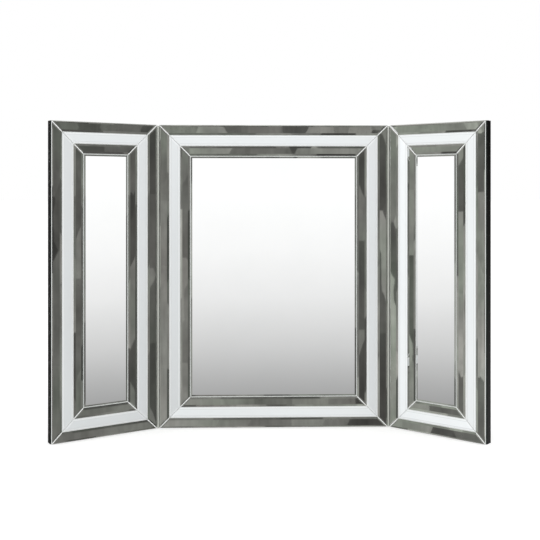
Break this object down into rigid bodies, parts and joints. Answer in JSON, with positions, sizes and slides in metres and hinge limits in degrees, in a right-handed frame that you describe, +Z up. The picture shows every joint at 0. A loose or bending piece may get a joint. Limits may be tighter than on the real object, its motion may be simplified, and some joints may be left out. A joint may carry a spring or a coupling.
{
  "type": "dressing table mirror",
  "caption": "Free-standing dressing table mirror with three hinged panels, each a black board under mitred rings of bevelled mirror and white glass round a mirror plate.",
  "frame": {"origin": "middle of the centre board's lower edge, on the surface it stands on, at mid thickness of the board", "axes": "+X to the right as the user sees the mirror, along the centre panel; +Y to the back; +Z up; the mirrored front faces -Y"},
  "size_m": [0.7431, 0.1353, 0.54],
  "materials": {
    "plate_mirror": "polished",
    "strip_mirror": "polished, bevelled",
    "white_glass": "gloss, painted white behind",
    "board_paint": "black painted fibreboard",
    "hinge_steel": "bright nickel",
    "screw_steel": "bright nickel"
  },
  "bodies": {
    "centre": {"centre_backboard": "board_paint", "centre_mirror_plate": "plate_mirror", "centre_outer_strip_bottom": "strip_mirror", "centre_outer_strip_right": "strip_mirror", "centre_outer_strip_top": "strip_mirror", "centre_outer_strip_left": "strip_mirror", "centre_white_strip_bottom": "white_glass", "centre_white_strip_right": "white_glass", "centre_white_strip_top": "white_glass", "centre_white_strip_left": "white_glass", "centre_inner_strip_bottom": "strip_mirror", "centre_inner_strip_right": "strip_mirror", "centre_inner_strip_top": "strip_mirror", "centre_inner_strip_left": "strip_mirror", "left_hinge_centre_leaf": "hinge_steel", "left_hinge_pin": "hinge_steel", "right_hinge_centre_leaf": "hinge_steel", "right_hinge_pin": "hinge_steel", "left_hinge_centre_screws": "screw_steel", "right_hinge_centre_screws": "screw_steel"},
    "left_wing": {"left_wing_backboard": "board_paint", "left_wing_mirror_plate": "plate_mirror", "left_wing_outer_strip_bottom": "strip_mirror", "left_wing_outer_strip_right": "strip_mirror", "left_wing_outer_strip_top": "strip_mirror", "left_wing_outer_strip_left": "strip_mirror", "left_wing_white_strip_bottom": "white_glass", "left_wing_white_strip_right": "white_glass", "left_wing_white_strip_top": "white_glass", "left_wing_white_strip_left": "white_glass", "left_wing_inner_strip_bottom": "strip_mirror", "left_wing_inner_strip_right": "strip_mirror", "left_wing_inner_strip_top": "strip_mirror", "left_wing_inner_strip_left": "strip_mirror", "left_hinge_wing_leaf": "hinge_steel", "left_hinge_wing_screws": "screw_steel"},
    "right_wing": {"right_wing_backboard": "board_paint", "right_wing_mirror_plate": "plate_mirror", "right_wing_outer_strip_bottom": "strip_mirror", "right_wing_outer_strip_right": "strip_mirror", "right_wing_outer_strip_top": "strip_mirror", "right_wing_outer_strip_left": "strip_mirror", "right_wing_white_strip_bottom": "white_glass", "right_wing_white_strip_right": "white_glass", "right_wing_white_strip_top": "white_glass", "right_wing_white_strip_left": "white_glass", "right_wing_inner_strip_bottom": "strip_mirror", "right_wing_inner_strip_right": "strip_mirror", "right_wing_inner_strip_top": "strip_mirror", "right_wing_inner_strip_left": "strip_mirror", "right_hinge_wing_leaf": "hinge_steel", "right_hinge_wing_screws": "screw_steel"}
  },
  "joints": [
    {"name": "left_wing_hinge", "type": "hinge", "parent": "centre", "child": "left_wing", "pos_m": [-0.20505, -0.0131, 0.27], "axis": [0, 0, 1], "range_deg": [-31, 149]},
    {"name": "right_wing_hinge", "type": "hinge", "parent": "centre", "child": "right_wing", "pos_m": [0.20505, -0.0131, 0.27], "axis": [0, 0, -1], "range_deg": [-38, 142]}
  ]
}
